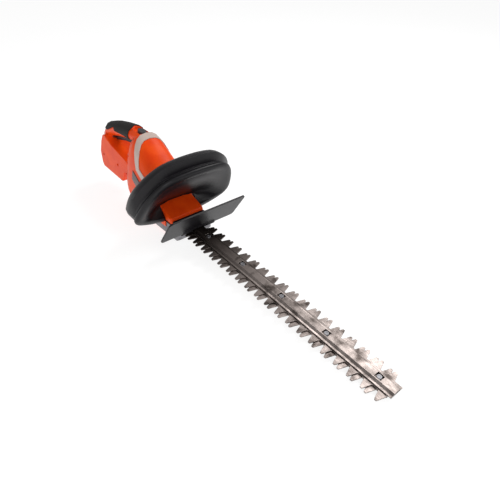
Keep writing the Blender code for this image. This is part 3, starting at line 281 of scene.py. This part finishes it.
def socketHeads(tree, name, group):
    mesh = bpy.data.meshes.new(name)
    mesh.from_pydata([headFace(node, Vector(way)) for node, way in group["places"]], [], [])
    facing = mesh.attributes.new("facing", "FLOAT_VECTOR", "POINT")
    for i, (node, way) in enumerate(group["places"]):
        facing.data[i].vector = way
    obj = bpy.data.objects.new(name, mesh)
    bpy.context.scene.collection.objects.link(obj)
    step = obj.modifiers.new("heads", "NODES")
    step.node_group = tree
    for item in tree.interface.items_tree:
        if item.name in group["sizes"]:
            step[item.identifier] = group["sizes"][item.name]
        if item.name == "Finish":
            step[item.identifier] = surfaces[group["slot"]]
    made = bpy.data.meshes.new_from_object(obj.evaluated_get(bpy.context.evaluated_depsgraph_get()))
    obj.modifiers.clear()
    obj.data = made
    made.set_sharp_from_angle(angle=math.radians(30))
    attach(obj, "housing")
    print(name, len(made.polygons), "faces")


toolUp = tuple(toolTurn @ Vector((0, 0, 1)))
toRight, toLeft = (0, -1, 0), (0, 1, 0)
screwGroups = {
    "case_screw_heads": {
        "places": [(f"case_screw_{i}", toRight) for i in range(1, 6)]
        + [("cover_screw_right", toRight), ("cover_screw_left", toLeft)],
        "sizes": {"Head Radius": 0.0028, "Rise": 0.0012, "Socket Radius": 0.0014, "Socket Sides": 6},
        "slot": "zinc"},
    "handle_bolt_heads": {
        "places": [("handle_bolt_right", toRight), ("handle_bolt_left", toLeft)],
        "sizes": {"Head Radius": 0.0035, "Rise": 0.0012, "Socket Radius": 0.002, "Socket Sides": 6},
        "slot": "zinc"},
    "blade_bolt_heads": {
        "places": [(f"blade_bolt_{i}", toolUp) for i in range(1, 6)],
        "sizes": {"Head Radius": 0.0042, "Rise": 0.0008, "Socket Radius": 0.0023, "Socket Sides": 6},
        "slot": "zinc"},
}
heads = headTree()
for name, group in screwGroups.items():
    socketHeads(heads, name, group)


# front handle: a thick arch bar, and the dished hand shield in front of it.
# Each pair of shares is a height, of the bar's and of the shield's outline, at a share of the half width
arch = {
    "rearHalf": 119.0, "rearTop": 167.0, "seamHalf": 115.0, "seamTop": 146.0, "bottom": 1.0, "lean": 0.5,
    "seamX": -82.0, "band": 22.0, "back": 18.0, "bar": 22.0, "footTop": 50.0, "rimDepth": 14.0, "wall": 3.0,
    "shares": [(0, 1, 1), (0.25, 0.99, 0.99), (0.5, 0.95, 0.96), (0.68, 0.87, 0.89), (0.81, 0.78, 0.77),
               (0.9, 0.69, 0.63), (0.955, 0.61, 0.5), (0.99, 0.51, 0.39), (1, 0.39, 0.32), (0.99, 0.28, 0.255),
               (0.935, 0.19, 0.18), (0.83, 0.12, 0.125), (0.64, 0.06, 0.06), (0.45, 0.02, 0.02), (0.36, 0, 0)],
    "faceTop": 129.0, "faceFoot": 36.5, "faceDepth": 41.0, "faceCurve": 1.8, "faceSide": 0.5, "faceBack": -108.0,
    "steps": 5,
}
archShear = Matrix.Identity(4)
archShear[0][2] = arch["lean"]


def smoothPath(points, steps):
    path = []
    for i in range(len(points) - 1):
        before = Vector(points[max(i - 1, 0)])
        here = Vector(points[i])
        after = Vector(points[i + 1])
        beyond = Vector(points[min(i + 2, len(points) - 1)])
        for step in range(steps):
            t = step / steps
            bend = (2 * before - 5 * here + 4 * after - beyond) * t ** 2
            twist = (3 * here - before - 3 * after + beyond) * t ** 3
            path.append((2 * here + (after - before) * t + bend + twist) / 2)
    return path + [Vector(points[-1])]


def archOutline(half, top, column):
    side = [(half * share[0], arch["bottom"] + (top - arch["bottom"]) * share[column]) for share in arch["shares"]]
    return smoothPath([(-y, z) for y, z in side[::-1]] + side[1:], arch["steps"])


rearOutline = archOutline(arch["rearHalf"], arch["rearTop"], 1)
seamOutline = archOutline(arch["seamHalf"], arch["seamTop"], 2)


def archRing(outline, x, inset=0.0, scale=1.0):
    middle = Vector((0, arch["seamTop"] / 2))
    ring = []
    for i, point in enumerate(outline):
        along = (outline[min(i + 1, len(outline) - 1)] - outline[max(i - 1, 0)]).normalized()
        moved = middle + (point + Vector((along.y, -along.x)) * inset - middle) * scale
        ring.append(Vector((x, moved.x, moved.y)))
    return ring


def skin(name, sections, shear=Matrix.Identity(4), capFirst=True):
    shape = bmesh.new()
    rings = [[shape.verts.new(point) for point in section] for section in sections]
    for ring, following in zip(rings, rings[1:]):
        for i in range(len(ring)):
            j = (i + 1) % len(ring)
            shape.faces.new((ring[i], ring[j], following[j], following[i]))
    if capFirst:
        shape.faces.new(rings[0])
    shape.faces.new(rings[-1])
    shape.transform(toolToFloor @ shear)
    bmesh.ops.recalc_face_normals(shape, faces=shape.faces)
    mesh = bpy.data.meshes.new(name)
    shape.to_mesh(mesh)
    shape.free()
    obj = bpy.data.objects.new(name, mesh)
    bpy.context.scene.collection.objects.link(obj)
    return obj


def toolBox(name, low, high):
    around = ((low[1], low[2]), (high[1], low[2]), (high[1], high[2]), (low[1], high[2]))
    corners = [[Vector((x, y, z)) for y, z in around] for x in (low[0], high[0])]
    return skin(name, corners)


def combine(obj, other, operation):
    step = obj.modifiers.new(operation, "BOOLEAN")
    step.operation = operation
    step.object = other
    step.solver = "MANIFOLD"


def settleMesh(obj, *helpers):
    made = bpy.data.meshes.new_from_object(obj.evaluated_get(bpy.context.evaluated_depsgraph_get()))
    obj.modifiers.clear()
    obj.data = made
    for helper in helpers:
        bpy.data.objects.remove(helper)
    return obj


def barSections(front, shrink):
    edge = arch["seamX"] - arch["band"]
    back = edge - arch["back"]
    profile = [  # outline, x and inset, from the back over the outside and home along the inside
        (rearOutline, back + shrink, 9), (rearOutline, back + 1 + shrink, 5.5), (rearOutline, back + 4, 2.8 + shrink),
        (rearOutline, back + 9, 1.0 + shrink), (rearOutline, edge - 3, shrink + 0.1),
        (rearOutline, edge + 3, shrink + 0.2), (seamOutline, front - 6, shrink), (seamOutline, front - 1.5, shrink),
        (seamOutline, front - 0.4, 0.4 + shrink),
        (seamOutline, front, 1.6 + shrink), (seamOutline, front, 15), (seamOutline, front - 2.5, 19.5),
        (seamOutline, front - 8, 22), (rearOutline, back + 8, 22), (rearOutline, back + 2.5, 20),
        (rearOutline, back + shrink, 16),
    ]
    return list(zip(*[archRing(*ring) for ring in profile]))


gripBar = skin("front_handle_grip_finish", barSections(arch["seamX"] - 0.3, 0.0), archShear)
gripBar.data.shade_smooth()
lowSlab = toolBox("below grip", (-300, -200, -200), (200, 200, arch["footTop"] + 0.3))
combine(gripBar, lowSlab, "DIFFERENCE")
settleMesh(gripBar, lowSlab)
print("front grip:", len(gripBar.data.polygons), "faces")


def dishRing(scale, share):
    front = arch["seamX"] + arch["rimDepth"] - 2
    ring = archRing(seamOutline, 0, 0, scale)
    for point in ring:
        down = min(max(arch["faceTop"] - point.z, 0) / (arch["faceTop"] - arch["faceFoot"]), 1)
        across = 1 - arch["faceSide"] * (point.y / arch["seamHalf"]) ** 2
        back = share * arch["faceDepth"] * down ** arch["faceCurve"] * across
        point.x = max(front - back, arch["faceBack"])
    return ring


# each ring of the face: its share of the outline's size, and of the full depth
dishShares = [(0.8, 0.1), (0.74, 0.26), (0.66, 0.5), (0.57, 0.76), (0.48, 0.93), (0.38, 1), (0.26, 1), (0.12, 1)]
rimBack = arch["seamX"]
rimFront = arch["seamX"] + arch["rimDepth"]
rimSections = [archRing(seamOutline, x, inset) for x, inset in (
    (rimBack + 0.3, 2.8), (rimBack + 0.4, 0.8), (rimBack + 1.0, -0.8), (rimBack + 2.6, -1.9), (rimBack + 6, -2.6),
    (rimFront - 5, -1.6), (rimFront - 2.6, 0.4), (rimFront - 1, 3), (rimFront - 0.1, 6.5), (rimFront - 0.2, 10.5),
    (rimFront - 1.2, 14.5))]
faceSections = [dishRing(*shares) for shares in dishShares]
shield = skin("front_handle_shield_finish", rimSections + faceSections, archShear, capFirst=False)
shield.data.shade_smooth()
wall = shield.modifiers.new("wall", "SOLIDIFY")
wall.thickness = arch["wall"] * 0.001
wall.offset = -1
settleMesh(shield)
feet = skin("feet", barSections(arch["seamX"] + 6, 1.0), archShear)
feet.data.shade_smooth()
highSlab = toolBox("above feet", (-300, -200, arch["footTop"]), (200, 200, 300))
combine(feet, highSlab, "DIFFERENCE")
settleMesh(feet, highSlab)
combine(shield, feet, "UNION")
settleMesh(shield, feet)
print("shield:", len(shield.data.polygons), "faces")

# the housing's outside, 1 mm larger, that the shield is cut to fit: x, half width, bottom and top
bodyFit = {"gap": 1, "steps": 56, "squareness": 0.74}
bodyStations = [(-196, 42, -41, 147), (-176, 43, -42, 140), (-150, 44.5, -46.2, 124), (-125, 45, -48.7, 110),
                (-100, 45, -47.2, 97), (-75, 45, -45.8, 87), (-48, 44, -44.1, 76)]
bodyRings = []
for x, half, bottom, top in bodyStations:
    ring = []
    for i in range(bodyFit["steps"]):
        angle = 2 * math.pi * i / bodyFit["steps"]
        across = math.copysign(abs(math.cos(angle)) ** bodyFit["squareness"], math.cos(angle))
        up = math.copysign(abs(math.sin(angle)) ** bodyFit["squareness"], math.sin(angle))
        tall = (top - bottom) / 2 + bodyFit["gap"]
        ring.append(Vector((x, (half + bodyFit["gap"]) * across, (top + bottom) / 2 + tall * up)))
    bodyRings.append(ring)
bodyRoom = skin("body room", bodyRings)
hoodEnd = {"x": -91.0, "lean": 0.45, "foot": 8.2, "top": 250}  # where the housing ends, leaning forward as it rises
low, high = [Vector((hoodEnd["x"] + hoodEnd["lean"] * (z - arch["faceFoot"]), 0, z))
             for z in (hoodEnd["foot"], hoodEnd["top"])]
front = [[corner + Vector((0, y, 0)) for corner in (low, Vector((100, 0, low.z)), Vector((100, 0, high.z)), high)]
         for y in (-100, 100)]
frontRoom = skin("front room", front)
combine(bodyRoom, frontRoom, "DIFFERENCE")
settleMesh(bodyRoom, frontRoom)
noseRoom = toolBox("nose room", (-200, -43, -100), (100, 43, 37.5))
combine(shield, bodyRoom, "DIFFERENCE")
combine(shield, noseRoom, "DIFFERENCE")
settleMesh(shield, bodyRoom, noseRoom)
for obj, node in ((gripBar, "front_handle_grip"), (shield, "front_handle_shield")):
    obj.data.materials.clear()
    obj.data.materials.append(surfaces["black_nylon"])
    obj.data.shade_smooth()
    obj.data.set_sharp_from_angle(angle=math.radians(45))
    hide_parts(node)
    settle(obj, node + "_finish", node)
print("front handle done")


# floor, light and camera
studio = {"sky": 0.42, "key": 24.0, "fill": 12.0, "floorGlow": 0.8}
floorReach, floorDrop = 30, -0.0004  # dropped so that no foot lies in it
floorMesh = bpy.data.meshes.new("studio_floor")
floorMesh.from_pydata([(x * floorReach, y * floorReach, floorDrop) for x, y in ((-1, -1), (1, -1), (1, 1), (-1, 1))],
                      [], [(0, 1, 2, 3)])
floor = bpy.data.objects.new("studio_floor", floorMesh)
bpy.context.scene.collection.objects.link(floor)
# lit from below as well, so that it stays white and takes little colour from the tool
paper, paperTree, paperShader, paperCoords = newSurface("White seamless paper")
fibre = addNode(paperTree, "ShaderNodeTexNoise", values={"Scale": 1 / 0.0025, "Detail": 3.0},
                links={"Vector": paperCoords})
paperTone = addNode(paperTree, "ShaderNodeMix", {"data_type": "RGBA"},
                    {6: fromHex("#a2a2a2"), 7: fromHex("#9e9e9e")}, {0: fibre.outputs["Fac"]})
paperTree.links.new(paperTone.outputs[2], paperShader.inputs["Base Color"])
paperShader.inputs["Roughness"].default_value = 0.9
paperShader.inputs["Specular IOR Level"].default_value = 0.1
paperShader.inputs["Emission Color"].default_value = (1, 1, 1, 1)
paperShader.inputs["Emission Strength"].default_value = studio["floorGlow"]
floor.data.materials.append(paper)

scene = bpy.context.scene
scene.view_settings.view_transform = "Standard"
world = bpy.data.worlds.new("studio")
scene.world = world
world.use_nodes = True
skyShader = world.node_tree.nodes["Background"]
skyShader.inputs["Color"].default_value = (1, 1, 1, 1)
skyShader.inputs["Strength"].default_value = studio["sky"]


def softbox(name, place, target, size, power):
    lamp = bpy.data.lights.new(name, "AREA")
    lamp.shape = "RECTANGLE"
    lamp.size, lamp.size_y = size
    lamp.energy = power
    obj = bpy.data.objects.new(name, lamp)
    bpy.context.scene.collection.objects.link(obj)
    obj.location = place
    obj.rotation_mode = "QUATERNION"
    obj.rotation_quaternion = (Vector(target) - Vector(place)).to_track_quat("-Z", "Y")


softbox("key softbox", (0.2, 1.3, 1.7), (0, 0, 0.05), (1.2, 0.9), studio["key"])
softbox("fill softbox", (1.4, -0.9, 1.0), (0, 0, 0.05), (0.9, 0.9), studio["fill"])

viewpoint = {"lens": 33.84, "place": (0.6351, -0.4591, 0.5954), "turn": (53.6597, -0.8641, 49.6976)}
camera = bpy.data.objects.new("camera", bpy.data.cameras.new("camera"))
scene.collection.objects.link(camera)
camera.data.sensor_width = 36
camera.data.lens = viewpoint["lens"]
camera.location = viewpoint["place"]
camera.rotation_euler = [math.radians(angle) for angle in viewpoint["turn"]]
camera.data.clip_start = 0.01
scene.camera = camera
print("studio ready")
